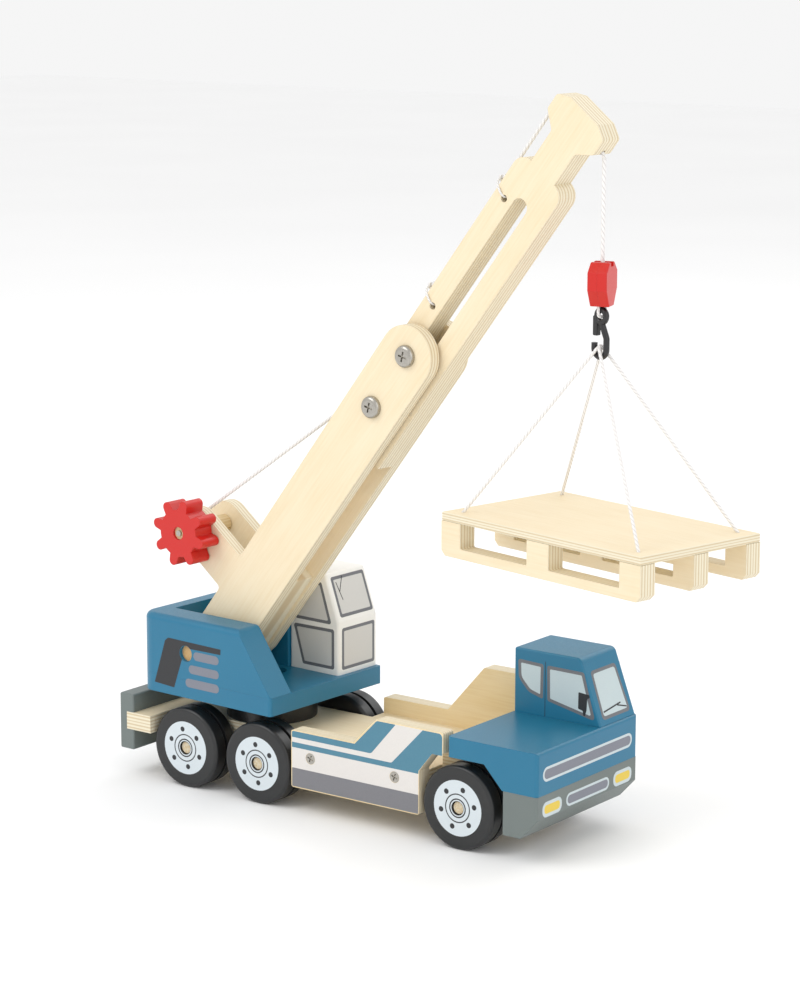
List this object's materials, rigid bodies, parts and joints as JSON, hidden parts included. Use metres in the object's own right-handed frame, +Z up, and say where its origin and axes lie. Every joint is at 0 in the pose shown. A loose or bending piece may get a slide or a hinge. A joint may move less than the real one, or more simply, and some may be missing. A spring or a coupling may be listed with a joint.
{
  "type": "toy crane truck",
  "caption": "Wooden toy crane truck: six-wheel chassis with two cabs, slewing upper works, luffing and sliding boom, winch, and a pallet hung from the hook on cords.",
  "frame": {"origin": "the middle of the whole model's footprint, at the height of the ground under the wheels", "axes": "+X forward along the truck, +Y to its left, +Z up"},
  "size_m": [0.4162, 0.1388, 0.431],
  "materials": {
    "wood_natural": "satin",
    "paint_blue": "painted satin",
    "paint_grey": "painted satin",
    "paint_white": "painted satin",
    "panel_print": "printed satin",
    "paint_red": "painted satin",
    "paint_black": "painted satin",
    "tyre_black": "painted satin",
    "black_plastic": "gloss",
    "steel_screw": "zinc plated",
    "cord_white": "matt"
  },
  "bodies": {
    "chassis": {"chassis_deck": "wood_natural", "rear_bumper": "paint_grey", "front_bumper": "paint_grey", "hood_block": "paint_blue", "hood_support_block": "wood_natural", "driver_cab": "paint_blue", "turntable_disc": "paint_black", "slew_screw": "steel_screw", "right_side_panel": "panel_print", "left_side_panel": "panel_print", "right_axle_rail": "wood_natural", "left_axle_rail": "wood_natural", "right_panel_screw_rear": "steel_screw", "right_panel_screw_front": "steel_screw", "left_panel_screw_rear": "steel_screw", "left_panel_screw_front": "steel_screw"},
    "front_wheels": {"front_axle_dowel": "wood_natural", "front_right_wheel": "tyre_black", "front_left_wheel": "tyre_black"},
    "middle_wheels": {"middle_axle_dowel": "wood_natural", "middle_right_wheel": "tyre_black", "middle_left_wheel": "tyre_black"},
    "rear_wheels": {"rear_axle_dowel": "wood_natural", "rear_right_wheel": "tyre_black", "rear_left_wheel": "tyre_black"},
    "upper_works": {"superstructure_base": "paint_blue", "superstructure_housing": "paint_blue", "operator_cab": "paint_white", "boom_pivot_dowel": "wood_natural"},
    "boom": {"boom_plate_right": "wood_natural", "boom_plate_left": "wood_natural", "boom_spacer_block": "wood_natural", "lower_clamp_bolt": "steel_screw", "lower_cap_nut": "steel_screw", "upper_clamp_bolt": "steel_screw", "upper_cap_nut": "steel_screw", "hoist_cord_run": "cord_white"},
    "winch": {"winch_drum": "wood_natural", "crank_knob": "paint_red", "crank_knob_screw": "steel_screw", "drum_end_cap": "black_plastic", "cord_winding": "cord_white"},
    "sliding_boom": {"inner_boom_right_layer": "wood_natural", "inner_boom_left_layer": "wood_natural", "lower_cord_guide": "cord_white", "middle_cord_guide": "cord_white", "upper_cord_guide": "cord_white", "hoist_cord_guided": "cord_white"},
    "hanging_line": {"hoist_cord_drop": "cord_white"},
    "hook_block": {"hook_block_front_half": "paint_red", "hook_block_rear_half": "paint_red"},
    "load": {"crane_hook": "black_plastic", "hook_cord": "cord_white", "front_sling": "cord_white", "rear_sling": "cord_white", "pallet_board": "wood_natural", "right_pallet_runner": "wood_natural", "middle_pallet_runner": "wood_natural", "left_pallet_runner": "wood_natural"}
  },
  "joints": [
    {"name": "front_axle_turn", "type": "hinge", "parent": "chassis", "child": "front_wheels", "pos_m": [0.04791, 0.01499, 0.025], "axis": [0, 1, 0], "continuous": true},
    {"name": "middle_axle_turn", "type": "hinge", "parent": "chassis", "child": "middle_wheels", "pos_m": [-0.10009, 0.01499, 0.025], "axis": [0, 1, 0], "continuous": true},
    {"name": "rear_axle_turn", "type": "hinge", "parent": "chassis", "child": "rear_wheels", "pos_m": [-0.15659, 0.01499, 0.025], "axis": [0, 1, 0], "continuous": true},
    {"name": "slew", "type": "hinge", "parent": "chassis", "child": "upper_works", "pos_m": [-0.12869, 0.01499, 0.0569], "axis": [0, 0, 1], "continuous": true},
    {"name": "luff", "type": "hinge", "parent": "upper_works", "child": "boom", "pos_m": [-0.15315, 0.00584, 0.0847], "axis": [-0.0471, -0.9989, 0], "range_deg": [-28, 14]},
    {"name": "boom_extension", "type": "slide", "parent": "boom", "child": "sliding_boom", "axis": [0.615, -0.029, 0.788], "range_m": [-0.078, 0.01], "deforming": ["hoist_cord_run"]},
    {"name": "plumb", "type": "hinge", "parent": "sliding_boom", "child": "hanging_line", "pos_m": [0.12187, -0.00713, 0.39677], "axis": [-0.0471, -0.9989, 0], "range_deg": [-14, 28]},
    {"name": "winch_turn", "type": "hinge", "parent": "boom", "child": "winch", "pos_m": [-0.16676, 0.00648, 0.15626], "axis": [0.0471, 0.9989, 0], "range_deg": [-254, 381]},
    {"name": "hoist", "type": "slide", "parent": "hanging_line", "child": "hook_block", "axis": [0, 0, 1], "range_m": [-0.06, 0.04], "deforming": ["hoist_cord_drop"]},
    {"name": "hook_turn", "type": "hinge", "parent": "hook_block", "child": "load", "pos_m": [0.12187, -0.00713, 0.3171], "axis": [0, 0, 1], "continuous": true}
  ],
  "couplings": [
    {"joint": "plumb", "follows": "luff", "ratio": -1},
    {"joint": "hoist", "follows": "winch_turn", "m_per_rad": -0.009}
  ]
}
